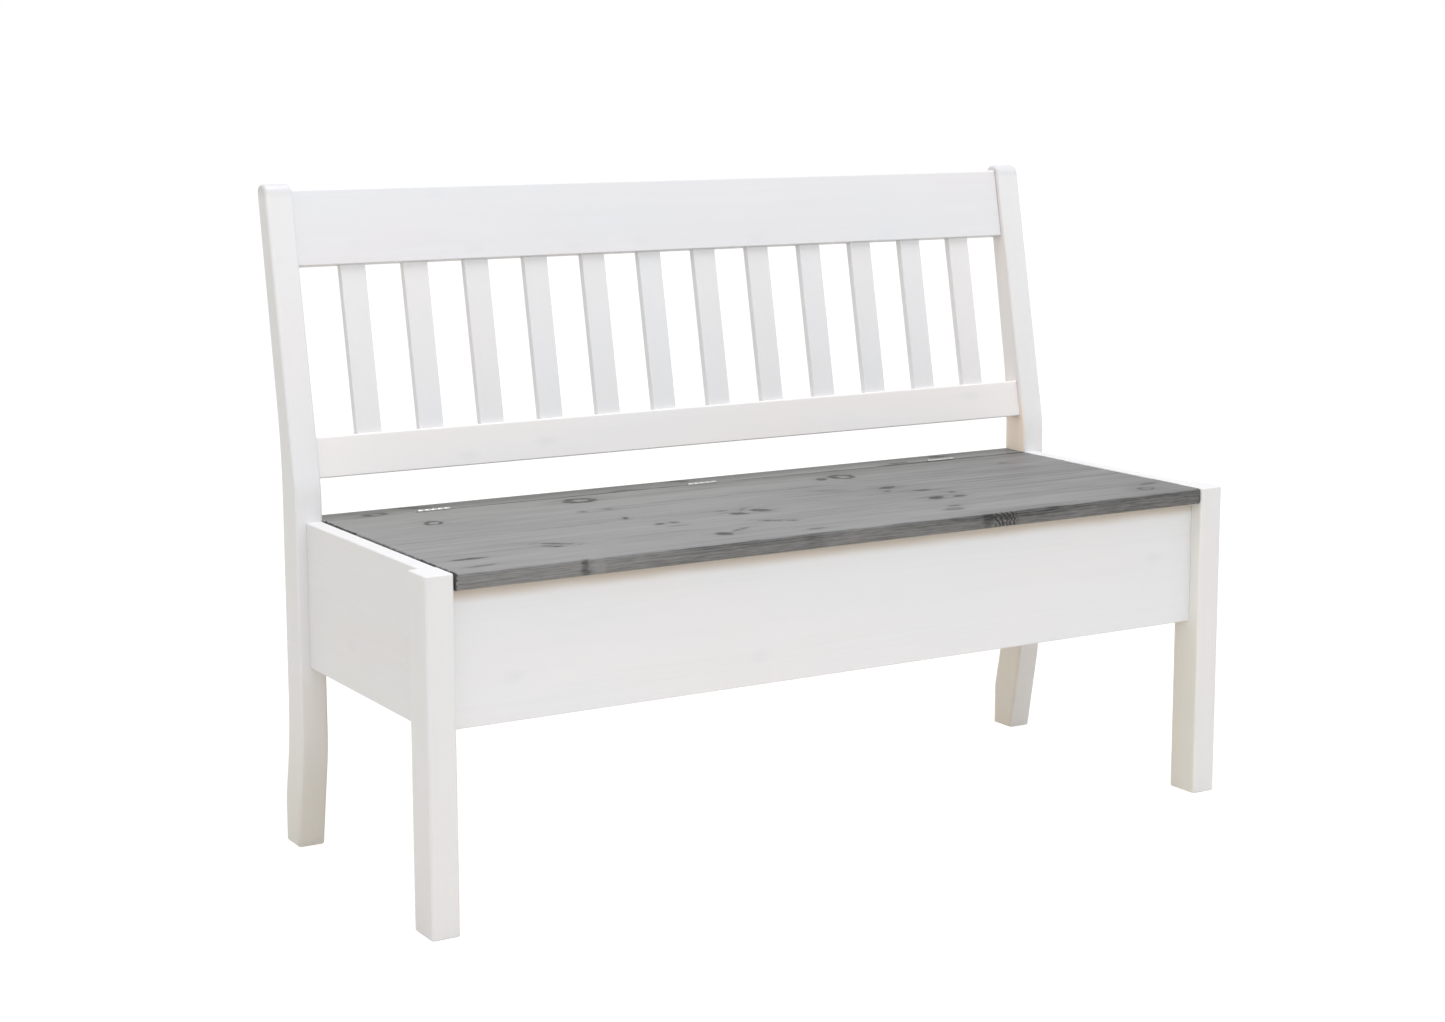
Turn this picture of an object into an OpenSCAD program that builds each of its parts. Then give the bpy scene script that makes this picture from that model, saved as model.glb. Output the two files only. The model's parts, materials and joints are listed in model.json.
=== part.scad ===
// Storage bench: a box seat on four legs, with a hinged lid and a raked slatted backrest.
// Units are millimetres. +Z is up, +X runs along the seat, -Y is the side a person sits down from.
// The origin is on the floor, under the centre of the whole bench.

/* [Overall] */
// Width across the outer faces of the legs
width = 1240; // [1140:10:1340]
// Height of the seat top and of the front legs
seat_height = 448; // [430:1:470]
// Height of the rear posts
back_height = 889; // [860:1:920]
// Front of the front legs to the front of the rear posts
seat_depth = 410; // [380:5:450]

/* [Legs] */
// Width of every leg, along the seat
leg_width = 38; // [34:1:44]
// Depth of a front leg, front to back
leg_depth = 52; // [46:1:60]
// Rounding of a front leg's upright edges
leg_edge = 4; // [2:0.5:6]
// Depth of a rear post where the box joins it
post_depth = 48; // [46:1:56]
// Depth of a rear post where it stands on the floor
foot_depth = 42; // [38:1:48]
// How far back the rear foot's front edge sweeps
foot_sweep = 25; // [15:1:32]

/* [Box] */
// Thickness of the panels, the lid and the rear strip
board = 22; // [20:1:24]
// Height of the box's underside above the floor
box_bottom = 252; // [230:1:270]
// How far the front panel sits behind the front of the legs
front_recess = 20; // [12:1:26]
// How far the side panels sit in from the outer faces of the legs
side_recess = 14.5; // [12:0.5:15]
// Thickness of the bottom panel
bottom_thickness = 12; // [9:1:15]
// Side of the square cleats under the bottom panel
cleat = 18; // [16:1:24]

/* [Backrest] */
// Lean of the backrest from the upright, in degrees
rake = 11.2; // [9:0.1:12]
// Thickness of the two rails
rail_thickness = 22; // [20:1:24]
// Height of the top rail, measured along the lean
top_rail_height = 103; // [90:1:110]
// Height of the lower rail, measured along the lean
lower_rail_height = 55; // [48:1:62]
// Width of a slat
slat_width = 36; // [30:1:42]
// Thickness of a slat
slat_thickness = 12; // [9:1:14]
// Distance between the centres of neighbouring slats
slat_pitch = 91.2; // [80:0.1:93]

/* [Lid] */
// Gap at each end of the lid
lid_gap = 3; // [2:0.5:4]
// Rounding of the lid's front edge
lid_edge = 4; // [2:0.5:6]
// Width of a batten under the lid
batten_width = 44; // [36:1:60]

/* [Hinges] */
// Length of a hinge
hinge_length = 48; // [40:1:60]
// Distance from the middle hinge to each outer hinge
hinge_spacing = 422; // [350:1:450]
// Outer radius of the knuckles
knuckle_radius = 2.6; // [2.4:0.1:3.2]
// Radius of the hinge pin
pin_radius = 1.4; // [1.2:0.1:1.5]

/* [Hidden] */
fine = 48;
slip = 1;                              // overlap that a cutting shape has past a face
slat_count = 12;
stave_count = 4;

// uprights, in a frame whose y is 0 at the front of the front legs
half = width / 2;
inner = half - leg_width;              // inner faces of the legs
panel_out = half - side_recess;        // outer faces of the side panels
panel_in = panel_out - board;          // inner faces of the side panels
post_front = seat_depth;
post_back = post_front + post_depth;
bend_z = seat_height + 44;             // where the post's front edge starts to lean
back_lean = rake - 1.4;                // the post's back edge leans a little less, so the post tapers
back_bend_z = bend_z + 43;
sweep_z = 137;                         // where the post's front edge starts to sweep back to the foot
heel_z = 155;                          // where the post's back edge starts to sweep back
foot_front = post_front + foot_sweep;
foot_back = foot_front + foot_depth;
foot_flat = 62;                        // height of the upright part of the heel

// box
box_height = seat_height - box_bottom;
front_y = front_recess;
lid_bottom = seat_height - board;
rest_gap = 0.5;                        // daylight between the closed lid and the front panel
back_y = post_front + 14;              // front face of the back panel
bottom_z = box_bottom + cleat;
bottom_gap = 0.5;

// backrest, in a frame that leans back from the bend in the posts
rail_recess = 8;
lower_rail_z = 14;
top_rail_z = (back_height - bend_z) / cos(rake) - top_rail_height - 5.2;
slat_y = rail_recess + (rail_thickness - slat_thickness) / 2;
tenon = 14;
tenon_end = 0.5;

// seat
joint_gap = 1.6;                       // between the lid and the rear strip
lid_back = post_front - joint_gap / 2;
strip_front = post_front + joint_gap / 2;
lid_half = inner - lid_gap;
stave = lid_back / stave_count;
batten_thickness = 18;
batten_front = 70;
batten_back = post_front - 26;
batten_x = 330;

// hinges: the pin line lies just above the seat, in the joint between lid and strip
axis_y = post_front;
axis_z = seat_height + 0.5;
leaf = 1.2;
leaf_drop = 17;                        // height of a leaf below the pin line
knuckles = 5;
knuckle_pitch = hinge_length / knuckles;
knuckle_gap = 0.2;
pin_clearance = 0.05;
barrel_clearance = 0.5;
hinge_x = [-hinge_spacing, 0, hinge_spacing];

// fasteners
dowel_radius = 4;
dowel_length = 36;
dowel_end = 0.5;
screw_radius = 1.6;
screw_head = 3.4;
screw_head_height = 1.9;
hinge_screw_length = 18;
hinge_screw_step = 16;
hinge_screw_z = axis_z - 10.5;

white = [0.92, 0.92, 0.90];
grey = [0.60, 0.60, 0.60];
bare = [0.85, 0.72, 0.52];
steel = [0.75, 0.76, 0.78];

// ---------------------------------------------------------------- profiles

// A point a distance d from corner c towards point p.
function step(c, p, d) = c + d * (p - c) / norm(p - c);

// Points of a smooth turn at corner c between a and b, starting d from the corner.
function turn(a, c, b, d, n = 6) =
    let (p = step(c, a, d), q = step(c, b, d))
    [for (i = [0 : n]) let (t = i / n) (1 - t) * (1 - t) * p + 2 * t * (1 - t) * c + t * t * q];

foot_toe = [foot_front, 0];
front_low = [post_front, sweep_z];
front_high = [post_front, bend_z];
front_top = [post_front + (back_height - bend_z) * tan(rake), back_height];
back_top = [post_back + (back_height - back_bend_z) * tan(back_lean), back_height];
back_high = [post_back, back_bend_z];
back_low = [post_back, heel_z];
heel_top = [foot_back, foot_flat];
foot_heel = [foot_back, 0];

post_outline = concat(
    [foot_toe],
    turn(foot_toe, front_low, front_high, 25),
    turn(front_low, front_high, front_top, 18),
    turn(front_high, front_top, back_top, 13),
    turn(front_top, back_top, back_high, 16),
    turn(back_top, back_high, back_low, 60, 10),
    turn(back_high, back_low, heel_top, 45, 8),
    turn(back_low, heel_top, foot_heel, 8),
    [foot_heel]
);
rear_y = max([for (p = post_outline) p[1] > seat_height ? p[0] : 0]);
shift_y = -max(rear_y, foot_back) / 2;

// ---------------------------------------------------------------- helpers

// Moves a piece from the frame of the front legs to the frame of the bench.
module place() {
    translate([0, shift_y, 0]) children();
}

// The leaning frame of the backrest.
module lean() {
    translate([0, post_front, bend_z]) rotate([-rake, 0, 0]) children();
}

// A rectangle with all four corners rounded.
module soft_rect(x, y, r) {
    translate([r, 0]) square([x - 2 * r, y]);
    translate([0, r]) square([x, y - 2 * r]);
    for (i = [r, x - r]) {
        for (j = [r, y - r]) translate([i, j]) circle(r, $fn = fine);
    }
}

// A rod along X, centred on x.
module rod_x(x, y, z, r, length) {
    translate([x, y, z]) rotate([0, 90, 0]) cylinder(r = r, h = length, center = true, $fn = fine);
}

// A rod along Y, centred on y.
module rod_y(x, y, z, r, length) {
    translate([x, y, z]) rotate([90, 0, 0]) cylinder(r = r, h = length, center = true, $fn = fine);
}

// A rod along Z, centred on z.
module rod_z(x, y, z, r, length) {
    translate([x, y, z]) cylinder(r = r, h = length, center = true, $fn = fine);
}

// A countersunk screw: its head's face is at z = 0 and it points down.
module screw_body(length) {
    translate([0, 0, -screw_head_height])
        cylinder(r1 = screw_radius, r2 = screw_head, h = screw_head_height, $fn = fine);
    translate([0, 0, 3 - length]) cylinder(r = screw_radius, h = length - 3, $fn = fine);
    translate([0, 0, -length]) cylinder(r1 = 0.4, r2 = screw_radius, h = 3, $fn = fine);
}

module screw(length) {
    difference() {
        screw_body(length);
        for (a = [0, 90]) {
            rotate([0, 0, a]) translate([-1.9, -0.35, -1.1]) cube([3.8, 0.7, 1.1 + slip]);
        }
    }
}

// The hole that a screw leaves, open above its head.
module screw_hole(length) {
    screw_body(length);
    cylinder(r = screw_head, h = slip, $fn = fine);
}

// ---------------------------------------------------------------- dowels

panel_dowel_z = [box_bottom + 38, box_bottom + 138];
side_dowel_z = [box_bottom + 66, box_bottom + 110];
side_mid = half - side_recess - board / 2;
front_mid = front_y + board / 2;
back_mid = back_y + board / 2;
strip_dowel_x = [-450, -150, 150, 450];
rail_mid = rail_recess + rail_thickness / 2;
lower_dowel_z = [lower_rail_z + 14, lower_rail_z + 41];
top_dowel_z = [top_rail_z + 24, top_rail_z + 76];

// Dowels in the leaning frame, from both rails into one post.
module rail_dowel_set(side, extra) {
    for (z = concat(lower_dowel_z, top_dowel_z)) {
        rod_x(side * inner, rail_mid, z, dowel_radius, dowel_length + extra);
    }
}

// The dowel from the rear strip into one post.
module strip_end_dowel(side, extra) {
    rod_x(side * inner, post_back - 20, lid_bottom + board / 2, dowel_radius, dowel_length + extra);
}

// Dowels from the front or back panel into one leg.
module panel_dowel_set(side, y, extra) {
    for (z = panel_dowel_z) rod_x(side * inner, y, z, dowel_radius, dowel_length + extra);
}

// Dowels from a side panel into the leg or post at its end y.
module side_dowel_set(side, y, extra) {
    for (z = side_dowel_z) rod_y(side * side_mid, y, z, dowel_radius, dowel_length + extra);
}

// Dowels from the rear strip down into the back panel.
module strip_dowel_set(extra) {
    for (x = strip_dowel_x) rod_z(x, back_mid, lid_bottom, dowel_radius - 1, 28 + extra);
}

// ---------------------------------------------------------------- screw positions

cleat_x = [-420, 0, 420];
cleat_y = [120, 340];
bottom_x = [-500, -165, 165, 500];
batten_screw_y = [stave * 0.95, stave * 1.5, stave * 2.5, stave * 3.4];
cleat_screw_length = 32;
bottom_screw_length = 24;
batten_screw_length = 32;

// Screws, or their holes, through the cleats into the panels behind them.
module front_cleat_screws() {
    for (x = cleat_x) {
        translate([x, front_y + board + cleat, box_bottom + cleat / 2]) rotate([-90, 0, 0]) children();
    }
}

module back_cleat_screws() {
    for (x = cleat_x) translate([x, back_y - cleat, box_bottom + cleat / 2]) rotate([90, 0, 0]) children();
}

module side_cleat_screws(side) {
    for (y = cleat_y) {
        translate([side * (panel_in - cleat), y, box_bottom + cleat / 2])
            rotate([0, -side * 90, 0]) children();
    }
}

// Screws, or their holes, down through the bottom panel into the cleats.
module floor_screws() {
    for (x = bottom_x) {
        for (y = [front_y + board + cleat / 2, back_y - cleat / 2]) {
            translate([x, y, bottom_z + bottom_thickness]) children();
        }
    }
}

// Screws, or their holes, up through one lid batten into the lid.
module lid_batten_screws(side) {
    for (y = batten_screw_y) {
        translate([side * batten_x, y, lid_bottom - batten_thickness]) rotate([180, 0, 0]) children();
    }
}

// Screws, or their holes, from the joint line into the strip (side 1) or the lid (side -1).
module hinge_screws_at(x, side) {
    for (i = [-1, 0, 1]) {
        translate([x + i * hinge_screw_step, axis_y + side * joint_gap / 2, hinge_screw_z])
            rotate([side * 90, 0, 0]) children();
    }
}

// ---------------------------------------------------------------- legs and posts

module front_leg(side) {
    difference() {
        translate([side > 0 ? inner : -half, 0, 0])
            linear_extrude(seat_height) soft_rect(leg_width, leg_depth, leg_edge);
        panel_dowel_set(side, front_mid, 2 * dowel_end);
        side_dowel_set(side, leg_depth, 2 * dowel_end);
    }
}

module rear_post(side) {
    difference() {
        translate([side > 0 ? inner : -half, 0, 0])
            rotate([90, 0, 90]) linear_extrude(leg_width) polygon(post_outline);
        panel_dowel_set(side, back_mid, 2 * dowel_end);
        side_dowel_set(side, post_front, 2 * dowel_end);
        strip_end_dowel(side, 2 * dowel_end);
        lean() rail_dowel_set(side, 2 * dowel_end);
    }
}

module front_leg_left() {
    color(white) place() front_leg(-1);
}

module front_leg_right() {
    color(white) place() front_leg(1);
}

module rear_post_left() {
    color(white) place() rear_post(-1);
}

module rear_post_right() {
    color(white) place() rear_post(1);
}

// ---------------------------------------------------------------- box

module front_panel() {
    color(white) place() difference() {
        translate([-inner, front_y, box_bottom]) cube([2 * inner, board, lid_bottom - rest_gap - box_bottom]);
        for (side = [-1, 1]) panel_dowel_set(side, front_mid, 2 * dowel_end);
        front_cleat_screws() screw_hole(cleat_screw_length);
    }
}

module back_panel() {
    color(white) place() difference() {
        translate([-inner, back_y, box_bottom]) cube([2 * inner, board, lid_bottom - box_bottom]);
        for (side = [-1, 1]) panel_dowel_set(side, back_mid, 2 * dowel_end);
        strip_dowel_set(2 * dowel_end);
        back_cleat_screws() screw_hole(cleat_screw_length);
    }
}

module side_panel(side) {
    difference() {
        translate([side > 0 ? panel_in : -panel_out, leg_depth, box_bottom])
            cube([board, post_front - leg_depth, box_height]);
        side_dowel_set(side, leg_depth, 2 * dowel_end);
        side_dowel_set(side, post_front, 2 * dowel_end);
        side_cleat_screws(side) screw_hole(cleat_screw_length);
    }
}

module side_panel_left() {
    color(white) place() side_panel(-1);
}

module side_panel_right() {
    color(white) place() side_panel(1);
}

module bottom_panel() {
    color(bare) place() difference() {
        translate([bottom_gap - inner, front_y + board + bottom_gap, bottom_z])
            cube([2 * (inner - bottom_gap), back_y - front_y - board - 2 * bottom_gap, bottom_thickness]);
        floor_screws() screw_hole(bottom_screw_length);
    }
}

module cleat_front() {
    color(bare) place() difference() {
        translate([-inner, front_y + board, box_bottom]) cube([2 * inner, cleat, cleat]);
        front_cleat_screws() screw_hole(cleat_screw_length);
        floor_screws() screw_hole(bottom_screw_length);
    }
}

module cleat_back() {
    color(bare) place() difference() {
        translate([-inner, back_y - cleat, box_bottom]) cube([2 * inner, cleat, cleat]);
        back_cleat_screws() screw_hole(cleat_screw_length);
        floor_screws() screw_hole(bottom_screw_length);
    }
}

module cleat_side(side) {
    difference() {
        translate([side > 0 ? panel_in - cleat : -panel_in, front_y + board + cleat, box_bottom])
            cube([cleat, back_y - front_y - board - 2 * cleat, cleat]);
        side_cleat_screws(side) screw_hole(cleat_screw_length);
    }
}

module cleat_left() {
    color(bare) place() cleat_side(-1);
}

module cleat_right() {
    color(bare) place() cleat_side(1);
}

// ---------------------------------------------------------------- backrest

// One mortise for each slat: a little deeper than the tenon.
module slat_mortises(from_z, height) {
    for (i = [0 : slat_count - 1]) {
        translate([slat_x(i) - slat_width / 2, slat_y, from_z]) cube([slat_width, slat_thickness, height]);
    }
}

function slat_x(i) = (i - (slat_count - 1) / 2) * slat_pitch;

module top_rail() {
    color(white) place() lean() difference() {
        translate([-inner, rail_recess, top_rail_z]) rotate([90, 0, 90])
            linear_extrude(2 * inner) soft_rect(rail_thickness, top_rail_height, 4);
        slat_mortises(top_rail_z - slip, tenon + tenon_end + slip);
        for (side = [-1, 1]) rail_dowel_set(side, 2 * dowel_end);
    }
}

module lower_rail() {
    color(white) place() lean() difference() {
        translate([-inner, rail_recess, lower_rail_z]) rotate([90, 0, 90])
            linear_extrude(2 * inner) soft_rect(rail_thickness, lower_rail_height, 3);
        slat_mortises(lower_rail_z + lower_rail_height - tenon - tenon_end, tenon + tenon_end + slip);
        for (side = [-1, 1]) rail_dowel_set(side, 2 * dowel_end);
    }
}

module slat(i) {
    low = lower_rail_z + lower_rail_height - tenon;
    color(white) place() lean()
        translate([slat_x(i) - slat_width / 2, slat_y, low])
            cube([slat_width, slat_thickness, top_rail_z + tenon - low]);
}

module slat_01() {
    slat(0);
}

module slat_02() {
    slat(1);
}

module slat_03() {
    slat(2);
}

module slat_04() {
    slat(3);
}

module slat_05() {
    slat(4);
}

module slat_06() {
    slat(5);
}

module slat_07() {
    slat(6);
}

module slat_08() {
    slat(7);
}

module slat_09() {
    slat(8);
}

module slat_10() {
    slat(9);
}

module slat_11() {
    slat(10);
}

module slat_12() {
    slat(11);
}

// ---------------------------------------------------------------- seat

// The recess for one leaf and the room that the knuckles turn in.
module hinge_seat(x, side) {
    edge = axis_y + side * joint_gap / 2;
    translate([x - hinge_length / 2, side > 0 ? edge - slip : edge - leaf, axis_z - leaf_drop])
        cube([hinge_length, leaf + slip, leaf_drop + slip]);
    rod_x(x, axis_y, axis_z, knuckle_radius + barrel_clearance, hinge_length + 1);
}

module rear_strip() {
    color(grey) place() difference() {
        translate([-inner, strip_front, lid_bottom]) cube([2 * inner, post_back - strip_front, board]);
        for (x = hinge_x) hinge_seat(x, 1);
        for (x = hinge_x) hinge_screws_at(x, 1) screw_hole(hinge_screw_length);
        for (side = [-1, 1]) strip_end_dowel(side, 2 * dowel_end);
        strip_dowel_set(2 * dowel_end);
    }
}

module lid_batten_holes() {
    for (side = [-1, 1]) lid_batten_screws(side) screw_hole(batten_screw_length);
}

// A plain board of the lid, numbered from the front.
module lid_stave(i) {
    difference() {
        translate([-lid_half, (i - 1) * stave, lid_bottom]) cube([2 * lid_half, stave, board]);
        lid_batten_holes();
    }
}

module lid_stave_1() {
    color(grey) place() difference() {
        translate([-lid_half, 0, lid_bottom]) rotate([90, 0, 90]) linear_extrude(2 * lid_half) {
            translate([lid_edge, 0]) square([stave - lid_edge, board]);
            translate([0, lid_edge]) square([2 * lid_edge, board - 2 * lid_edge]);
            for (z = [lid_edge, board - lid_edge]) translate([lid_edge, z]) circle(lid_edge, $fn = fine);
        }
        lid_batten_holes();
    }
}

module lid_stave_2() {
    color(grey) place() lid_stave(2);
}

module lid_stave_3() {
    color(grey) place() lid_stave(3);
}

module lid_stave_4() {
    color(grey) place() difference() {
        lid_stave(4);
        for (x = hinge_x) hinge_seat(x, -1);
        for (x = hinge_x) hinge_screws_at(x, -1) screw_hole(hinge_screw_length);
    }
}

module lid_batten(side) {
    difference() {
        translate([side * batten_x - batten_width / 2, batten_front, lid_bottom - batten_thickness])
            cube([batten_width, batten_back - batten_front, batten_thickness]);
        lid_batten_screws(side) screw_hole(batten_screw_length);
    }
}

module lid_batten_left() {
    color(grey) place() lid_batten(-1);
}

module lid_batten_right() {
    color(grey) place() lid_batten(1);
}

// ---------------------------------------------------------------- hinges

// Centre of knuckle k, counted from 0 at the hinge's left end.
function knuckle_x(x, k) = x + (k - (knuckles - 1) / 2) * knuckle_pitch;

module barrel(x, first, radius, gap) {
    for (k = [first : 2 : knuckles - 1]) rod_x(knuckle_x(x, k), axis_y, axis_z, radius, knuckle_pitch - gap);
}

// A leaf with its knuckles: side 1 is fixed to the strip and side -1 turns with the lid.
module hinge_leaf(x, side) {
    own = side > 0 ? 0 : 1;
    other = side > 0 ? 1 : 0;
    plate_y = side > 0 ? axis_y + joint_gap / 2 : axis_y - joint_gap / 2 - leaf;
    bore = side > 0 ? pin_radius : pin_radius + pin_clearance;
    difference() {
        union() {
            translate([x - hinge_length / 2, plate_y, axis_z - leaf_drop])
                cube([hinge_length, leaf, leaf_drop]);
            barrel(x, own, knuckle_radius, knuckle_gap);
        }
        barrel(x, other, knuckle_radius + 0.3, -knuckle_gap);
        rod_x(x, axis_y, axis_z, bore, hinge_length + 2 * slip);
        hinge_screws_at(x, side) screw_hole(hinge_screw_length);
    }
}

module hinge_pin(x) {
    rod_x(x, axis_y, axis_z, pin_radius, hinge_length);
}

module hinge_leaf_fixed_left() {
    color(steel) place() hinge_leaf(hinge_x[0], 1);
}

module hinge_leaf_fixed_middle() {
    color(steel) place() hinge_leaf(hinge_x[1], 1);
}

module hinge_leaf_fixed_right() {
    color(steel) place() hinge_leaf(hinge_x[2], 1);
}

module hinge_leaf_lid_left() {
    color(steel) place() hinge_leaf(hinge_x[0], -1);
}

module hinge_leaf_lid_middle() {
    color(steel) place() hinge_leaf(hinge_x[1], -1);
}

module hinge_leaf_lid_right() {
    color(steel) place() hinge_leaf(hinge_x[2], -1);
}

module hinge_pin_left() {
    color(steel) place() hinge_pin(hinge_x[0]);
}

module hinge_pin_middle() {
    color(steel) place() hinge_pin(hinge_x[1]);
}

module hinge_pin_right() {
    color(steel) place() hinge_pin(hinge_x[2]);
}

// ---------------------------------------------------------------- fasteners

module rail_dowels() {
    color(bare) place() lean() {
        for (side = [-1, 1]) rail_dowel_set(side, 0);
    }
}

module panel_dowels() {
    color(bare) place() {
        for (side = [-1, 1]) {
            panel_dowel_set(side, front_mid, 0);
            panel_dowel_set(side, back_mid, 0);
            side_dowel_set(side, leg_depth, 0);
            side_dowel_set(side, post_front, 0);
        }
    }
}

module strip_dowels() {
    color(bare) place() {
        for (side = [-1, 1]) strip_end_dowel(side, 0);
        strip_dowel_set(0);
    }
}

module hinge_screws_fixed() {
    color(steel) place() {
        for (x = hinge_x) hinge_screws_at(x, 1) screw(hinge_screw_length);
    }
}

module hinge_screws_lid() {
    color(steel) place() {
        for (x = hinge_x) hinge_screws_at(x, -1) screw(hinge_screw_length);
    }
}

module cleat_screws() {
    color(steel) place() {
        front_cleat_screws() screw(cleat_screw_length);
        back_cleat_screws() screw(cleat_screw_length);
        for (side = [-1, 1]) side_cleat_screws(side) screw(cleat_screw_length);
    }
}

module bottom_screws() {
    color(steel) place() floor_screws() screw(bottom_screw_length);
}

module batten_screws() {
    color(steel) place() {
        for (side = [-1, 1]) lid_batten_screws(side) screw(batten_screw_length);
    }
}

// ---------------------------------------------------------------- output

front_leg_left();
front_leg_right();
rear_post_left();
rear_post_right();
front_panel();
back_panel();
side_panel_left();
side_panel_right();
bottom_panel();
cleat_front();
cleat_back();
cleat_left();
cleat_right();
top_rail();
lower_rail();
slat_01();
slat_02();
slat_03();
slat_04();
slat_05();
slat_06();
slat_07();
slat_08();
slat_09();
slat_10();
slat_11();
slat_12();
rear_strip();
lid_stave_1();
lid_stave_2();
lid_stave_3();
lid_stave_4();
lid_batten_left();
lid_batten_right();
hinge_leaf_fixed_left();
hinge_leaf_fixed_middle();
hinge_leaf_fixed_right();
hinge_leaf_lid_left();
hinge_leaf_lid_middle();
hinge_leaf_lid_right();
hinge_pin_left();
hinge_pin_middle();
hinge_pin_right();
rail_dowels();
panel_dowels();
strip_dowels();
hinge_screws_fixed();
hinge_screws_lid();
cleat_screws();
bottom_screws();
batten_screws();
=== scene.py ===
import json
import math
import random

import bmesh
import bpy
from mathutils import Matrix, Vector


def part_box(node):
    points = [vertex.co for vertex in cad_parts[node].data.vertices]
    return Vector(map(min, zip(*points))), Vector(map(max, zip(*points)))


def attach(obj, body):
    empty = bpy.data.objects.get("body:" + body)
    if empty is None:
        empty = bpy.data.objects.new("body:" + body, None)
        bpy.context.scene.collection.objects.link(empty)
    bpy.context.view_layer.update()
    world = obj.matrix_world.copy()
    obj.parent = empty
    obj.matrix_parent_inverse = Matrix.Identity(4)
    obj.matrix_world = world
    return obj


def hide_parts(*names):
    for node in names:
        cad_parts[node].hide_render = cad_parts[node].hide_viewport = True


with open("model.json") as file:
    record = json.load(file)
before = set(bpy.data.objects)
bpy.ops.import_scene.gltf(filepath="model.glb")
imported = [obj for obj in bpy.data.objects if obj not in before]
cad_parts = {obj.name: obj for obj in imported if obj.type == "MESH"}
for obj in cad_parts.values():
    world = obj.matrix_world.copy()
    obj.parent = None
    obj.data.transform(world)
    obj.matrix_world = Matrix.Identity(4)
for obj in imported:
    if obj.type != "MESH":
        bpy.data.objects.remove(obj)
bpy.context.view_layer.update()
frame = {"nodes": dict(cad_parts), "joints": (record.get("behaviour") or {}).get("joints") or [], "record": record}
MM = 0.001

# ---------------------------------------------------------------- camera

# fitted to the photo with only a small shift, so that the bench stays in view from all sides
CAMERA_AT = Vector((-1.7969, -2.9033, 1.0327))
AZIMUTH, ELEVATION, ROLL = (math.radians(v) for v in (-30.938, 8.825, -0.129))
camera = bpy.data.objects.new("camera", bpy.data.cameras.new("camera"))
bpy.context.scene.collection.objects.link(camera)
bpy.context.scene.camera = camera
camera.data.sensor_width = 36.0
camera.data.lens = 62.10
camera.data.shift_y = -0.0353
camera.data.clip_end = 200.0
back = Vector((
    math.sin(AZIMUTH) * math.cos(ELEVATION),
    -math.cos(AZIMUTH) * math.cos(ELEVATION),
    math.sin(ELEVATION),
))
level = Vector((math.cos(AZIMUTH), math.sin(AZIMUTH), 0.0))
upward = back.cross(level)
right = math.cos(ROLL) * level + math.sin(ROLL) * upward
upward = math.cos(ROLL) * upward - math.sin(ROLL) * level
turned = Matrix((right, upward, back)).transposed()
camera.matrix_world = Matrix.Translation(CAMERA_AT) @ turned.to_4x4()

# ---------------------------------------------------------------- shader helpers


class Tree:
    """Short calls for building a node tree."""

    def __init__(self, tree):
        self.tree = tree
        tree.nodes.clear()

    def node(self, kind, inputs=(), out=0, **settings):
        n = self.tree.nodes.new(kind)
        for key, value in settings.items():
            setattr(n, key, value)
        for key, value in dict(inputs).items():
            if value is None:
                continue
            if isinstance(value, bpy.types.NodeSocket):
                self.tree.links.new(value, n.inputs[key])
            else:
                n.inputs[key].default_value = value
        return n.outputs[out] if out is not None else n

    def math(self, op, a, b=None, c=None, clamp=False):
        return self.node("ShaderNodeMath", {0: a, 1: b, 2: c}, operation=op, use_clamp=clamp)

    def vec(self, op, a, b=None, out=0):
        return self.node("ShaderNodeVectorMath", {0: a, 1: b}, out=out, operation=op)

    def split(self, v):
        n = self.node("ShaderNodeSeparateXYZ", {0: v}, out=None)
        return n.outputs[0], n.outputs[1], n.outputs[2]

    def join(self, x, y, z):
        return self.node("ShaderNodeCombineXYZ", {0: x, 1: y, 2: z})

    def noise(self, v, scale, detail=2.0, rough=0.5, distort=0.0):
        """Noise over v stretched by a per-axis scale."""
        where = self.vec("MULTIPLY", v, scale)
        return self.node("ShaderNodeTexNoise", {
            "Vector": where, "Scale": 1.0, "Detail": detail, "Roughness": rough, "Distortion": distort,
        })

    def remap(self, v, a, b, c=0.0, d=1.0, smooth=True):
        return self.node(
            "ShaderNodeMapRange",
            {"Value": v, "From Min": a, "From Max": b, "To Min": c, "To Max": d},
            interpolation_type="SMOOTHSTEP" if smooth else "LINEAR",
        )

    def mix(self, t, a, b, mode="MIX"):
        n = self.node("ShaderNodeMix", out=None, data_type="RGBA", blend_type=mode)
        for key, value in ((0, t), (6, a), (7, b)):
            if isinstance(value, bpy.types.NodeSocket):
                self.tree.links.new(value, n.inputs[key])
            else:
                n.inputs[key].default_value = value if key == 0 else (*value, 1.0)
        return n.outputs[2]


def new_material(name):
    m = bpy.data.materials.new(name)
    m.use_nodes = True
    return m, Tree(m.node_tree)


def surface(t, color, rough, height, metallic=0.0, specular=0.5, strength=1.0):
    """The closing shader: height is in metres."""
    bump = t.node("ShaderNodeBump", {"Height": height, "Strength": strength, "Distance": 1.0})
    shader = t.node("ShaderNodeBsdfPrincipled", {
        "Base Color": color, "Roughness": rough, "Metallic": metallic,
        "Specular IOR Level": specular, "Normal": bump,
    })
    t.node("ShaderNodeOutputMaterial", {"Surface": shader}, out=None)


# ---------------------------------------------------------------- pine

# Each board carries three attributes: grain, its own frame in metres with X along the grain, Y
# across it and Z through the thickness; half, its half sizes in that frame; and seed, a number
# of its own, so that no two boards are alike.


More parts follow.
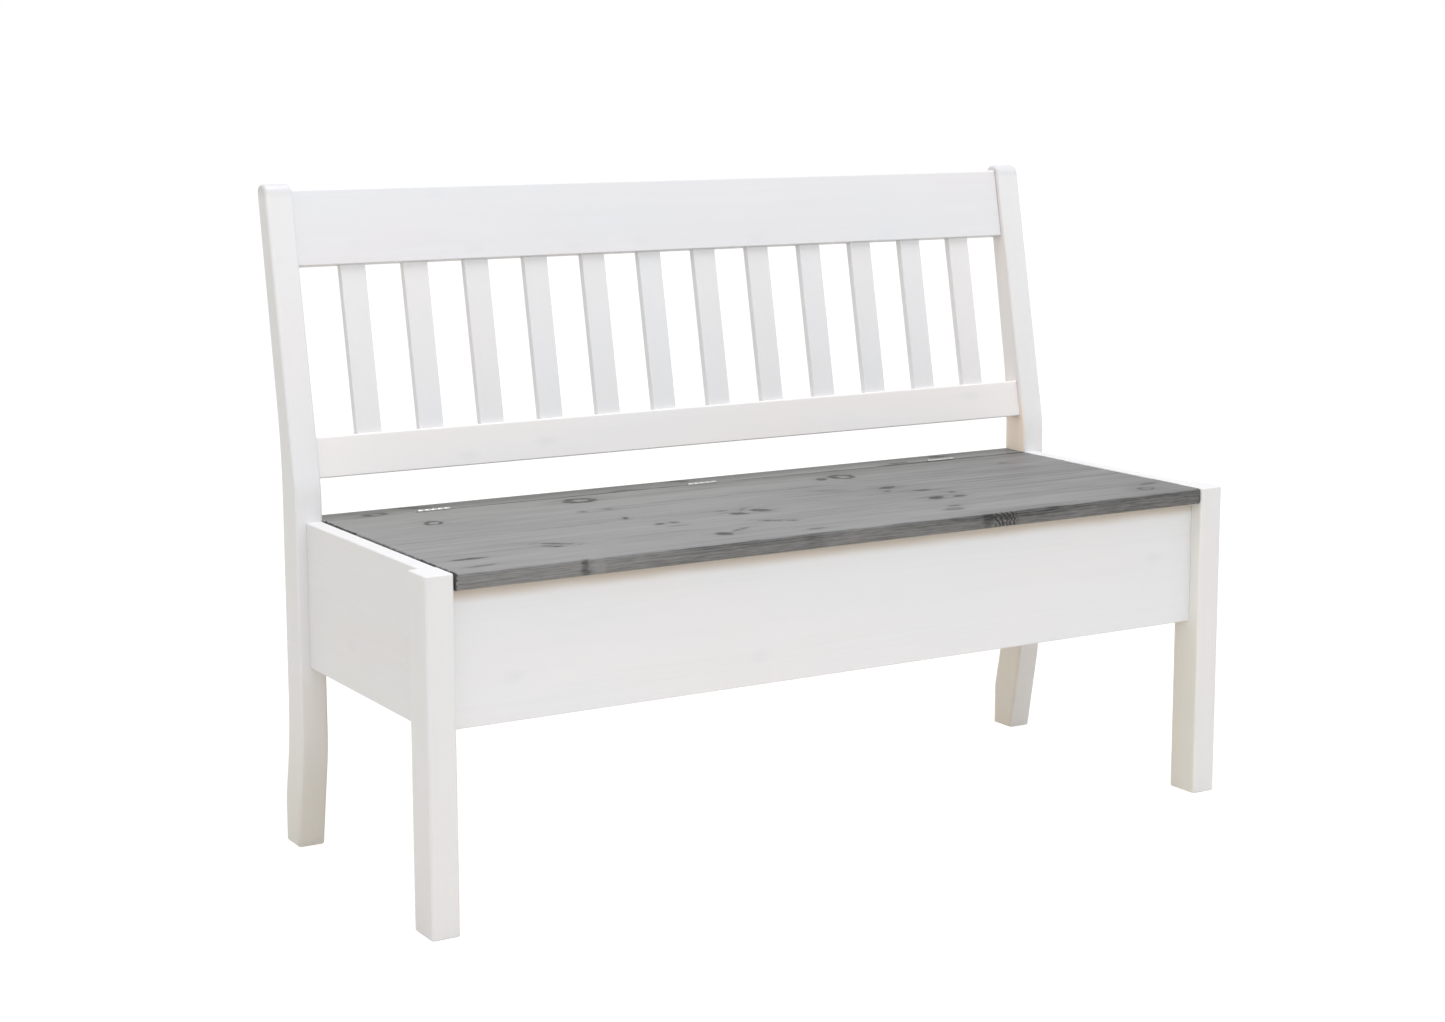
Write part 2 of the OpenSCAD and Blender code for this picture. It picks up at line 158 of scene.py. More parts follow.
SEED_STEP = (17.3, 11.1, 5.7)            # how far a seed of 1 moves a board's noise
RAGGED = (0.017, 0.009, 0.006)           # how far the edge of a knot wanders, along each axis
LINE_PUSH = 0.8                          # how far a knot moves growth lines, in its half widths
FULL_TONE = 0.10                         # shade of a board where nothing darkens it


class Board:
    """What a glaze reads from the board that it is on: x, y and z in the board's frame, ex, ey
    and ez inwards from its faces, apart for noise of its own, and point for knots' ragged edges."""

    def __init__(self, t):
        self.grain = t.node("ShaderNodeAttribute", out=1, attribute_name="grain")
        half = t.node("ShaderNodeAttribute", out=1, attribute_name="half")
        self.seed = t.node("ShaderNodeAttribute", out=2, attribute_name="seed")
        self.apart = t.vec("ADD", self.grain, t.node(
            "ShaderNodeVectorMath", {0: SEED_STEP, "Scale": self.seed}, operation="SCALE"))
        self.x, self.y, self.z = t.split(self.grain)
        self.half_x, self.half_y, self.half_z = t.split(half)
        self.ex, self.ey, self.ez = t.split(t.vec("SUBTRACT", half, t.vec("ABSOLUTE", self.grain)))
        self.on_edge = t.remap(self.ey, 0.0024, 0.0010)
        self.on_end = t.remap(self.ex, 0.0020, 0.0006)
        ragged = t.vec("SUBTRACT", t.node("ShaderNodeTexNoise", {
            "Vector": t.vec("MULTIPLY", self.apart, (55.0, 170.0, 170.0)),
            "Scale": 1.0, "Detail": 3.0, "Roughness": 0.65,
        }, out=1), (0.5, 0.5, 0.5))
        self.point = t.vec("ADD", t.vec("MULTIPLY", ragged, RAGGED), self.grain)


def about(t, point, centre, turn, size):
    """The point seen from a knot: in its half sizes, turned to lie along it."""
    return t.node("ShaderNodeMapping", {
        "Vector": point, "Location": centre, "Rotation": (0.0, 0.0, math.radians(turn)), "Scale": size,
    }, vector_type="TEXTURE")


def dark_knots(t, b, knots):
    """Knots in the seat's top: an eye with a dark rim and heel, or a soft sliver. Gives the marks,
    how near a knot is, and how far the knots push the growth lines aside."""
    marks, near, push = 0.0, 0.0, 0.0
    for x, y, long, wide, turn, strength, shape in knots:
        seen = about(t, b.point, (x, y, 0.0), turn, (long, wide, 1.0))
        d = t.vec("LENGTH", seen, out=1)
        u, v = t.split(seen)[:2]
        if shape == "sliver":
            marks = t.math("MAXIMUM", marks, t.remap(d, 1.25, 0.50, 0.0, strength))
            reach = t.remap(d, 3.2, 0.9, 0.0, strength)
        else:
            rim = t.math("MULTIPLY", t.remap(d, 0.55, 0.80), t.remap(d, 1.45, 1.15, 0.0, strength))
            heel = t.math("MULTIPLY", t.remap(d, 1.15, 0.85), t.remap(u, -0.2, -0.7, 0.0, strength))
            marks = t.math("MAXIMUM", marks, t.math("MAXIMUM", rim, heel))
            reach = t.remap(d, 4.0, 0.9)
        near = t.math("MAXIMUM", near, reach)
        push = t.math("MULTIPLY_ADD", t.math("MULTIPLY", v, reach), -LINE_PUSH * wide, push)
    # fine streaks through each knot, and a fainter knot on the underside
    fine = t.remap(t.noise(b.point, (70.0, 420.0, 300.0), 2.0, 0.6), 0.34, 0.58, 0.62, 1.25)
    above = t.remap(b.z, -0.009, 0.009, 0.55, 1.0)
    return t.math("MULTIPLY", marks, t.math("MULTIPLY", fine, above)), near, push


def sawn_knots(t, b, knots):
    """Knots cut through in the seat's front edge: smudges, dark or pale, and arcs of growth lines
    to the right of one. Gives the shade, the arcs and where the arcs take over."""
    shade, arcs, hold = 0.0, 0.0, 0.0
    px, _, pz = t.split(b.point)
    upright = t.join(px, pz, 0.0)
    for x, z, long, high, strength, pitch in knots:
        seen = about(t, upright, (x, z, 0.0), 0.0, (long, high, 1.0))
        d = t.vec("LENGTH", seen, out=1)
        if not pitch:
            shade = t.math("ADD", shade, t.remap(d, 1.4, 0.4, 0.0, strength))
            continue
        line = t.math("MULTIPLY_ADD", t.math("SINE", t.math("MULTIPLY", d, pitch)), 0.5, 0.5)
        hold = t.math("MULTIPLY", t.remap(d, 4.2, 3.4), t.remap(t.split(seen)[0], 0.5, 1.2))
        arcs = t.math("MULTIPLY", t.math("MULTIPLY", line, hold), strength)
    return shade, arcs, hold


def pale_knots(t, point, knots):
    """Knots that only show through the white glaze as a soft cool spot."""
    spots = 0.0
    for x, y, long, wide, strength in knots:
        d = t.vec("LENGTH", about(t, point, (x, y, 0.0), 0.0, (long, wide, 1.0)), out=1)
        spots = t.math("MAXIMUM", spots, t.remap(d, 1.5, 0.1, 0.0, strength))
    return spots


def growth_lines(t, b, push, pith, spacing, wander):
    """Late wood as fine dark lines: shells round a pith that lies under the board and wanders."""
    bend = t.math("MULTIPLY_ADD", t.noise(b.apart, (1.3, 2.0, 2.0), 1.0), 2 * wander, -wander)
    sink = t.math("MULTIPLY_ADD", t.noise(b.apart, (0.9, 1.0, 1.0), 1.0), wander * 0.6, pith)
    ry = t.math("ADD", t.math("ADD", b.y, bend), push)
    rz = t.math("ADD", b.z, sink)
    radius = t.math("SQRT", t.math("ADD", t.math("MULTIPLY", ry, ry), t.math("MULTIPLY", rz, rz)))
    ripple = t.math("MULTIPLY", t.noise(b.apart, (7.0, 60.0, 60.0), 2.0, 0.6), 0.8)
    slow = t.join(b.seed, t.math("MULTIPLY", radius, 90.0), 0.0)
    uneven = t.math("MULTIPLY", t.noise(slow, (1.0, 1.0, 1.0), 1.0), 2.5)
    turn = t.math("FRACT", t.math("ADD", t.math("DIVIDE", radius, spacing), t.math("ADD", ripple, uneven)))
    late = t.math("MULTIPLY", t.remap(turn, 0.30, 0.75), t.remap(turn, 1.0, 0.85))
    strong = t.remap(t.noise(slow, (3.1, 3.1, 3.1), 0.0), 0.35, 0.65, 0.45, 1.0)
    return t.math("MULTIPLY", late, strong)


def line_shade(t, b, late, near, face_ring, edge_ring):
    """Growth lines as shade: in drifts on the faces, everywhere on the narrow edges."""
    weight = t.remap(t.noise(b.apart, (2.0, 45.0, 45.0), 2.0), 0.32, 0.68, 0.25, 1.0)
    weight = t.math("MAXIMUM", weight, b.on_edge)
    depth = t.remap(b.on_edge, 0.0, 1.0, face_ring, edge_ring, smooth=False)
    depth = t.math("MULTIPLY", depth, t.math("MULTIPLY_ADD", near, 1.5, 1.0))
    return t.math("MULTIPLY", t.math("MULTIPLY", late, weight), depth)


def with_sawn_knots(t, b, lines, sawn):
    """The growth lines with the front edge's arcs let into them, and the shade of its smudges."""
    on_front = t.math("MULTIPLY", b.on_edge, t.math("LESS_THAN", b.y, 0.0))
    smudge, arcs, hold = sawn_knots(t, b, sawn)
    kept = t.math("SUBTRACT", 1.0, t.math("MULTIPLY", hold, on_front))
    lines = t.math("MULTIPLY_ADD", lines, kept, t.math("MULTIPLY", arcs, on_front))
    return lines, t.math("MULTIPLY", smudge, on_front)


def add_streaks(t, b, shade, near, fibre, streak):
    """Long dark and pale streaks, broad drifts, fine fibre, and darker wood round a knot."""
    long_dark = t.remap(t.noise(b.apart, (2.2, 60.0, 80.0), 3.0, 0.6), 0.50, 0.74)
    elsewhere = t.vec("ADD", b.apart, (3.0, 9.0, 4.0))
    long_pale = t.remap(t.noise(elsewhere, (1.4, 90.0, 90.0), 2.0, 0.6), 0.55, 0.75)
    broad = t.remap(t.noise(b.apart, (2.5, 14.0, 14.0), 2.0, 0.5), 0.30, 0.70, -1.0, 1.0)
    for part, weight in ((long_dark, 1.6), (long_pale, -1.0), (broad, 0.7), (fibre, 1.8), (near, 0.8)):
        shade = t.math("MULTIPLY_ADD", part, streak * weight, shade)
    return shade


def add_edges(t, b, shade, edge_fleck, edge_dark, end_grain_and_shade):
    """Flecks and a darker tone on the narrow edges, and a darker tone on the ends: the end grain's own, and on the
    top rail painted shade where it meets the posts.
    """
    fleck = t.math("SUBTRACT", t.noise(b.apart, (45.0, 420.0, 420.0), 2.0, 0.65), 0.5)
    shade = t.math("MULTIPLY_ADD", t.math("MULTIPLY", fleck, b.on_edge), edge_fleck, shade)
    shade = t.math("MULTIPLY_ADD", b.on_edge, edge_dark, shade)
    return t.math("MULTIPLY_ADD", b.on_end, end_grain_and_shade, shade)


def add_back_joint(t, b, shade, depth):
    """Painted shade: a dark line drawn along a board's rear, stronger to the right, for the shade in the open
    joint. It widens the joint there.
    """
    line = t.remap(t.math("SUBTRACT", b.half_y, b.y), 0.0100, 0.0060)
    line = t.math("MULTIPLY", line, t.remap(b.x, -0.12, 0.36, 0.10, 1.0))
    line = t.math("MULTIPLY", line, t.remap(t.noise(b.apart, (30.0, 5.0, 5.0), 1.0), 0.25, 0.5, 0.6, 1.0))
    return t.math("MULTIPLY_ADD", line, depth, shade)


def add_bands(t, b, shade, bands):
    """Broad bands along the board, with edges that drift and fade."""
    drift, fade = 0.012, 0.005
    for middle, reach, depth in bands:
        at = t.math("MULTIPLY_ADD", t.noise(b.apart, (3.0, 20.0, 20.0), 2.0), drift, b.y)
        away = t.math("ABSOLUTE", t.math("SUBTRACT", at, middle + drift / 2))
        shade = t.math("ADD", shade, t.remap(away, reach + fade, reach - fade, 0.0, depth))
    return shade


def tinted(t, where, color, tint):
    return t.mix(where, color, t.mix(1.0, color, tint, "MULTIPLY"))


def add_top_stain(t, b, color, stain):
    """Painted shadow: a warm, darker band along a panel's top edge, where the lid overhangs it."""
    below = t.math("SUBTRACT", b.half_y, b.y)
    below = t.math("MULTIPLY_ADD", t.noise(b.apart, (9.0, 30.0, 30.0), 2.0), 0.006, below)
    return tinted(t, t.remap(below, 0.024, 0.008), color, stain)


def add_side_tint(t, b, color, side_tint):
    """Painted light: a warm tint of bounced light on one side of a post or leg, across its face ("y") or through
    its depth ("z").
    """
    axis, high, middle, low = side_tint
    tint = t.mix(t.remap(b.x, -0.12, -0.03), low, middle)
    tint = t.mix(t.remap(b.x, 0.04, 0.12), tint, high)
    depth = t.math("ADD", b.half_y, b.y) if axis == "y" else t.math("SUBTRACT", b.half_z, b.z)
    return tinted(t, t.remap(depth, 0.0030, 0.0012), color, tint)


def rub_arris_and_highlight(t, b, color, light, arris_wear_and_highlight):
    """Thin glaze on the arrises, where two of the distances inwards are small: partly wear, partly a painted
    highlight.
    """
    lowest = t.math("MINIMUM", t.math("MINIMUM", b.ex, b.ey), b.ez)
    highest = t.math("MAXIMUM", t.math("MAXIMUM", b.ex, b.ey), b.ez)
    total = t.math("ADD", t.math("ADD", b.ex, b.ey), b.ez)
    middle = t.math("SUBTRACT", total, t.math("ADD", lowest, highest))
    rubbed_and_lit = t.remap(t.noise(b.apart, (11.0, 90.0, 90.0), 2.0), 0.46, 0.66)
    rubbed_and_lit = t.math("MULTIPLY", t.remap(middle, 0.0022, 0.0006), rubbed_and_lit)
    pale = tuple(min(0.9, 1.35 * c) for c in light)
    return t.mix(t.math("MULTIPLY", rubbed_and_lit, arris_wear_and_highlight), color, pale)


def relief_height(t, b, late, fibre, marks, relief):
    """The height of the surface: raised late wood and fibre, and knots a little sunk."""
    height = t.math("MULTIPLY", late, t.remap(b.on_edge, 0.0, 1.0, relief * 0.5, relief, smooth=False))
    height = t.math("MULTIPLY_ADD", fibre, relief * 0.5, height)
    height = t.math("MULTIPLY_ADD", t.noise(b.apart, (25.0, 60.0, 60.0), 2.0), relief * 0.8, height)
    return t.math("MULTIPLY_ADD", marks, -relief, height)


def pine(name, light, dark, tints, face_ring, edge_ring, streak, rough, knots=(), sawn=(), spots=(),
         spot_tone=None, pith=0.11, spacing=0.0031, wander=0.020, relief=0.0001, arris_wear_and_highlight=0.3,
         edge_dark=0.0, edge_fleck=0.0, end_grain_and_shade=0.0, joint_dark=0.0, back_joint=0.0, bands=(),
         fall=0.0, top_stain=None, side_tint=None, foot_tint=None, top_tint=None):
    """Pine under a glaze, from light to dark, with two washes (tints) that the colour drifts
    between. face_ring, edge_ring: depth of the growth lines on faces and narrow edges. streak:
    depth of the long streaks. knots, sawn, spots: as the tables of knots below.
    edge_dark, edge_fleck, end_grain_and_shade, joint_dark, back_joint, bands: extra shade on narrow edges,
    on ends (end grain, and painted shade where the top rail meets the posts), beside joints, along the
    rear (painted shade in the open joint) and in bands. fall: painted shade, how much darker the right
    end is. top_stain, side_tint, foot_tint, top_tint: painted shadow, bounce light and
    shade laid over part of the board. arris_wear_and_highlight: how bare the arrises are, partly wear and
    partly a painted highlight. relief: height of the grain in metres."""
    m, t = new_material(name)
    b = Board(t)
    marks, near, push = dark_knots(t, b, knots) if knots else (0.0, 0.0, 0.0)
    late = growth_lines(t, b, push, pith, spacing, wander)
    fibre = t.math("SUBTRACT", t.noise(b.apart, (18.0, 500.0, 500.0), 3.0, 0.6), 0.5)

    shade = line_shade(t, b, late, near, face_ring, edge_ring)
    smudge = 0.0
    if sawn:
        shade, smudge = with_sawn_knots(t, b, shade, sawn)
    shade = add_streaks(t, b, shade, near, fibre, streak)
    shade = add_edges(t, b, shade, edge_fleck, edge_dark, end_grain_and_shade)
    shade = t.math("ADD", shade, smudge)
    if joint_dark:
        shade = t.math("MULTIPLY_ADD", t.remap(b.ey, 0.0026, 0.0012), joint_dark, shade)
    if back_joint:
        shade = add_back_joint(t, b, shade, back_joint)
    shade = add_bands(t, b, shade, bands)
    # painted shade: darker towards the board's right end
    if fall:
        shade = t.math("ADD", shade, t.remap(b.x, -0.58, 0.58, -fall, fall, smooth=False))
    shade = t.math("MAXIMUM", shade, t.math("MULTIPLY_ADD", shade, 0.5, marks))

    color = t.mix(t.math("ADD", shade, FULL_TONE, clamp=True), light, dark)
    wash = t.remap(t.noise(b.apart, (3.0, 9.0, 9.0), 2.0, 0.5), 0.32, 0.68)
    color = t.mix(1.0, color, t.mix(wash, tints[0], tints[1]), "MULTIPLY")
    if spots:
        color = t.mix(pale_knots(t, b.point, spots), color, spot_tone)
    if top_stain:
        color = add_top_stain(t, b, color, top_stain)
    if side_tint:
        color = add_side_tint(t, b, color, side_tint)
    # painted shade: the top end of a rear post darker
    if top_tint:
        color = tinted(t, t.remap(t.math("SUBTRACT", b.half_x, b.x), 0.020, 0.004), color, top_tint)
    # painted shade: darker and warmer towards the foot
    if foot_tint:
        color = tinted(t, t.remap(t.math("ADD", b.half_x, b.x), 0.26, 0.03), color, foot_tint)
    color = rub_arris_and_highlight(t, b, color, light, arris_wear_and_highlight)

    gloss = t.math("MULTIPLY_ADD", t.noise(b.apart, (12.0, 70.0, 70.0), 3.0), 0.16, rough - 0.08)
    gloss = t.math("MULTIPLY_ADD", late, 0.05, gloss)
    surface(t, color, gloss, relief_height(t, b, late, fibre, marks, relief))
    return m


WHITE = dict(
    light=(0.812, 0.815, 0.825), dark=(0.56, 0.55, 0.53), tints=((1.0, 0.986, 0.986), (0.984, 0.992, 1.0)),
    face_ring=0.035, edge_ring=0.04, streak=0.018, rough=0.40, relief=0.00005, arris_wear_and_highlight=0.2,
    spacing=0.0040,
)
# painted shade: the seat's glaze made darker towards its right end, in place of light falling off across it
# fall: the seat in the photo darkens to the right more than it does under these lights
GREY = dict(
    light=(0.257, 0.257, 0.257), dark=(0.022, 0.022, 0.023), tints=((0.92, 0.92, 0.92), (1.0, 1.0, 1.0)),
    face_ring=0.12, edge_ring=0.26, streak=0.15, rough=0.46, relief=0.00012, arris_wear_and_highlight=0.9,
    edge_dark=0.205, edge_fleck=0.75, end_grain_and_shade=0.70, joint_dark=0.10, wander=0.006, fall=0.20,
)
BARE = dict(
    light=(0.76, 0.60, 0.42), dark=(0.42, 0.24, 0.11), tints=((0.95, 0.93, 0.90), (1.0, 1.0, 1.0)),
    face_ring=0.45, edge_ring=0.45, streak=0.10, rough=0.55, relief=0.0001, arris_wear_and_highlight=0.1, spacing=0.0035,
)
TONES = {"white_pine": WHITE, "grey_pine": GREY, "bare_pine": BARE}

# knots in the seat, in the bench's frame: x, y, half length, half width, turn, strength, shape
SEAT_KNOTS = (
    (-0.464, 0.061, 0.0130, 0.0100, 62, 0.95, "eye"),
    (-0.218, 0.116, 0.0200, 0.0140, 0, 0.90, "eye"),
    (-0.256, 0.036, 0.0090, 0.0060, 0, 0.50, "sliver"),
    (-0.218, 0.036, 0.0100, 0.0070, 0, 0.50, "sliver"),
    (-0.231, -0.038, 0.0110, 0.0050, 60, 0.70, "sliver"),
    (-0.212, -0.099, 0.0090, 0.0065, 20, 0.85, "sliver"),
    (-0.191, -0.099, 0.0085, 0.0065, -30, 0.80, "sliver"),
    (-0.196, -0.122, 0.0200, 0.0060, 0, 0.30, "sliver"),
    (-0.392, -0.151, 0.0230, 0.0050, -34, 0.95, "sliver"),
    (-0.402, -0.165, 0.0180, 0.0040, -34, 0.80, "sliver"),
    (-0.529, -0.185, 0.0270, 0.0055, 0, 0.90, "sliver"),
    (-0.533, -0.232, 0.0240, 0.0050, 5, 0.50, "sliver"),
    (-0.176, -0.203, 0.0130, 0.0105, -40, 0.95, "sliver"),
    (-0.142, -0.188, 0.0220, 0.0045, 25, 0.60, "sliver"),
    (-0.054, -0.234, 0.0150, 0.0070, 0, 0.55, "sliver"),
    (-0.075, -0.152, 0.0180, 0.0055, -35, 0.70, "sliver"),
    (-0.050, -0.168, 0.0100, 0.0055, -20, 0.55, "sliver"),
    (-0.083, -0.086, 0.0140, 0.0085, -30, 0.85, "sliver"),
    (-0.044, -0.080, 0.0160, 0.0105, -25, 0.95, "sliver"),
    (-0.094, -0.057, 0.0120, 0.0040, 0, 0.60, "sliver"),
    (-0.060, -0.060, 0.0140, 0.0040, 40, 0.60, "sliver"),
    (0.205, 0.097, 0.0160, 0.0150, 0, 0.90, "eye"),
    (0.168, 0.093, 0.0120, 0.0085, 40, 0.90, "sliver"),
    (0.121, 0.005, 0.0350, 0.0120, -25, 0.28, "sliver"),
    (0.207, -0.017, 0.0160, 0.0095, 15, 0.90, "sliver"),
    (0.190, -0.042, 0.0080, 0.0060, 0, 0.60, "sliver"),
    (0.235, -0.059, 0.0170, 0.0065, -10, 0.85, "sliver"),
    (0.262, -0.096, 0.0070, 0.0060, 0, 0.80, "sliver"),
    (0.217, -0.123, 0.0180, 0.0090, 30, 1.00, "sliver"),
    (0.252, -0.128, 0.0110, 0.0080, 0, 0.85, "sliver"),
    (0.184, -0.209, 0.0190, 0.0110, 0, 0.50, "sliver"),
    (0.200, -0.188, 0.0120, 0.0060, 0, 0.55, "sliver"),
    (0.485, 0.078, 0.0100, 0.0060, 0, 0.45, "sliver"),
    (0.515, -0.217, 0.0120, 0.0085, 0, 0.60, "eye"),
    (0.545, -0.185, 0.0220, 0.0055, 10, 0.65, "sliver"),
    (-0.503, 0.163, 0.0150, 0.0090, 0, 0.70, "eye"),
    (-0.440, 0.184, 0.0300, 0.0080, -20, 0.60, "sliver"),
    (-0.125, 0.160, 0.0220, 0.0045, 0, 0.65, "sliver"),
    (-0.019, 0.188, 0.0160, 0.0090, -40, 0.95, "sliver"),
    (0.434, 0.180, 0.0160, 0.0100, -20, 0.95, "sliver"),
    (0.348, 0.160, 0.0200, 0.0060, 0, 0.80, "sliver"),
)
# marks in the seat's front edge: x, z, half length, half height, shade, arc pitch
FRONT_KNOTS = (
    (-0.407, 0.437, 0.0055, 0.0200, 0.42, 0),
    (-0.387, 0.437, 0.0090, 0.0160, -0.22, 0),
    (-0.069, 0.437, 0.0200, 0.0200, 0.12, 0),
    (0.206, 0.440, 0.0110, 0.0160, 0.32, 0),
    (0.208, 0.424, 0.0120, 0.0120, 0.70, 13.0),
)
# faint knots under the white glaze, from the middle of each board
PALE_KNOTS = {
    "top_rail": ((-0.374, 0.040), (-0.497, -0.026), (-0.324, -0.038), (-0.168, -0.040), (-0.061, -0.035),
                 (0.135, -0.040), (0.370, -0.040)),
    "lower_rail": ((-0.244, -0.004), (-0.362, -0.016), (0.490, 0.010)),
    "front_panel": ((-0.145, -0.049), (-0.496, -0.031), (0.513, 0.013)),
    "side_panel_left": ((0.03, -0.039),),
    "side_panel_right": ((-0.07, 0.03),),
}
PALE_CAST = (0.70, 0.71, 0.745)
PALE_HALF = (0.016, 0.008)
PALE_STRENGTH = 0.30
# painted shadow: a warm darker band on the front panel's top, under the lid's overhang
UNDER_SEAT_SHADOW = (0.80, 0.71, 0.61)

# What follows brings tones to the photo's where the light alone does not. One photo can't say
# whether such a difference is paint or light, so under other light it may look wrong.
STRIP_TONE = 0.86
# painted shade: the strip's glaze darker towards its right end
STRIP_SHADE_FALL = 0.07
# painted shade: the shade in the open joint between the lid and the strip, drawn along the lid's rear
LID_GAP_SHADE = 0.7
# painted shade: the top rail's ends darkened where they meet the posts
RAIL_END_SHADE = 1.0
# broad bands across a seat board, from its middle: where, half width, how much darker
SEAT_BANDS = {
    "lid_stave_4": ((0.033, 0.022, 0.07), (-0.024, 0.026, -0.11)),
    "lid_stave_3": ((0.010, 0.060, 0.07),),
}
# boards whose white differs from the rest: partly their paint and partly painted light and shade, lighter on the
# lower rail and front panel, darker on the top rail
WHITE_PAINT_AND_LIGHT = {
    "top_rail": (0.793, 0.798, 0.820),
    "lower_rail": (0.885, 0.868, 0.855),
    "front_panel": (0.844, 0.851, 0.874),
}
# painted light: warm bounced light laid on the shaded inner side of the right post and leg, from the top down
SIDE_BOUNCE_LIGHT = {
    "rear_post_right": ("y", (1.04, 1.00, 0.975), (1.28, 1.11, 0.94), (1.10, 1.06, 0.97)),
    "front_leg_right": ("z", (1.08, 1.08, 1.02), (1.08, 1.08, 1.02), (1.08, 1.08, 1.02)),
}
# painted shade: the left rear foot darker and warmer towards the floor, and the tops of both rear posts darker
# under the light from above
FOOT_SHADE = (0.93, 0.92, 0.86)
POST_TOP_SHADE = (0.86, 0.86, 0.87)
OWN_WHITE = {*PALE_KNOTS, *WHITE_PAINT_AND_LIGHT, *SIDE_BOUNCE_LIGHT, "rear_post_left"}
KNOT_REACH = 0.012


def knots_in(node):
    """The knots in or beside a seat board, moved to its own frame, and those in its front edge."""
    lo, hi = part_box(node)
    mid = (lo + hi) / 2
    top = [(x - mid.x, y - mid.y, *rest) for x, y, *rest in SEAT_KNOTS
           if lo.y - KNOT_REACH < y < hi.y + KNOT_REACH]
    front = [(x - mid.x, z - mid.z, *rest) for x, z, *rest in FRONT_KNOTS]
    return top, front if node == "lid_stave_1" else ()


plain_looks = {}


def look_of(node, slot):
    """The board's material: its own where it has knots or a tone of its own, or else the slot's."""
    if slot == "grey_pine" and node.startswith(("lid_stave", "rear_strip")):
        tone = dict(GREY)
        tone["knots"], tone["sawn"] = knots_in(node)
        if node == "rear_strip":
            tone.update(light=tuple(STRIP_TONE * c for c in GREY["light"]), fall=STRIP_SHADE_FALL)
        if node == "lid_stave_4":
            tone["back_joint"] = LID_GAP_SHADE
        tone["bands"] = SEAT_BANDS.get(node, ())
        return pine("grey_glazed_" + node, **tone)
    if node in OWN_WHITE:
        tone = dict(WHITE)
        tone["light"] = WHITE_PAINT_AND_LIGHT.get(node, WHITE["light"])
        tone["spots"] = [(x, y, *PALE_HALF, PALE_STRENGTH) for x, y in PALE_KNOTS.get(node, ())]
        tone["spot_tone"] = PALE_CAST
        if node == "front_panel":
            tone["top_stain"] = UNDER_SEAT_SHADOW
        if node == "top_rail":
            tone["end_grain_and_shade"] = RAIL_END_SHADE
        if node.startswith("rear_post"):
            tone["top_tint"] = POST_TOP_SHADE
        tone["side_tint"] = SIDE_BOUNCE_LIGHT.get(node)
        if node == "rear_post_left":
            tone["foot_tint"] = FOOT_SHADE
        return pine("white_glazed_" + node, **tone)
    if slot not in plain_looks:
        plain_looks[slot] = pine(slot + "_plain", **TONES[slot])
    return plain_looks[slot]


def steel(name, base, rough, scale):
    """Plated steel with fine brushing along the hinge and faint handling marks."""
    m, t = new_material(name)
    place = t.node("ShaderNodeTexCoord", out=3)
    brush = t.noise(place, scale, 3.0, 0.6)
    smudge = t.noise(place, (90.0, 90.0, 90.0), 3.0, 0.55)
    tone = t.mix(t.remap(smudge, 0.35, 0.7), base, tuple(0.84 * c for c in base))
    gloss = t.math("MULTIPLY_ADD", smudge, 0.18, rough - 0.09)
    gloss = t.math("MULTIPLY_ADD", brush, 0.08, gloss)
    surface(t, tone, gloss, t.math("MULTIPLY", brush, 0.00001), metallic=1.0)
    return m


hinge_steel = steel("nickel_hinge", (0.70, 0.70, 0.69), 0.30, (60.0, 2500.0, 2500.0))
screw_steel = steel("zinc_screw", (0.70, 0.71, 0.74), 0.34, (900.0, 900.0, 900.0))


def dowel_wood():
    m, t = new_material("beech_dowel")
    place = t.node("ShaderNodeTexCoord", out=3)
    fleck = t.noise(place, (300.0, 300.0, 300.0), 3.0, 0.6)
    cloud = t.noise(place, (40.0, 40.0, 40.0), 2.0)
    color = t.mix(t.remap(cloud, 0.3, 0.7), (0.62, 0.42, 0.24), (0.52, 0.33, 0.18))
    color = t.mix(t.remap(fleck, 0.62, 0.7), color, (0.34, 0.20, 0.10))
    surface(t, color, t.math("MULTIPLY_ADD", fleck, 0.2, 0.5), t.math("MULTIPLY", fleck, 0.00008))
    return m


beech = dowel_wood()
SMALL_PARTS = {"hinge_steel": hinge_steel, "screw_steel": screw_steel, "dowel_beech": beech}
SLOT = {s["node"]: s["material_slot"] for s in frame["record"]["subparts"]}
BODY = {n: body for body, members in frame["record"]["behaviour"]["bodies"].items() for n in members}
draw = random.Random(7)

# ---------------------------------------------------------------- boards


def mesh_of(bm, name):
    mesh = bpy.data.meshes.new(name)
    bm.to_mesh(mesh)
    bm.free()
    return mesh


def placed(name, data):
    """A new object of the scene, for a mesh or a light."""
    obj = bpy.data.objects.new(name, data)
    bpy.context.scene.collection.objects.link(obj)
    return obj


def corner_points(cy, cz, r, start, n):
    """Points of a quarter circle round (cy, cz), from the angle start."""
    if r <= 0:
        return [(cy, cz)]
    return [(cy + r * math.cos(a), cz + r * math.sin(a))
            for a in (start + math.pi / 2 * i / n for i in range(n + 1))]


def section(width, thick, radii, n=4):
    """A rectangle across the grain, with its own rounding at each corner: the corners run
    (+,+), (-,+), (-,-), (+,-) in width and thickness."""
    w, h = width / 2, thick / 2
    signs = ((1, 1), (-1, 1), (-1, -1), (1, -1))
    points = []
    for i, ((sy, sz), r) in enumerate(zip(signs, radii)):
        points += corner_points(sy * (w - r), sz * (h - r), r, i * math.pi / 2, n)
    return points


def prism(points, length):
    bm = bmesh.new()
    ends = []
    for x in (-length / 2, length / 2):
        ends.append([bm.verts.new((x, y, z)) for y, z in points])
    bm.faces.new(ends[0])
    bm.faces.new(ends[1])
    for i in range(len(points)):
        j = (i + 1) % len(points)
        bm.faces.new((ends[0][i], ends[0][j], ends[1][j], ends[1][i]))
    bmesh.ops.recalc_face_normals(bm, faces=bm.faces)
    return bm


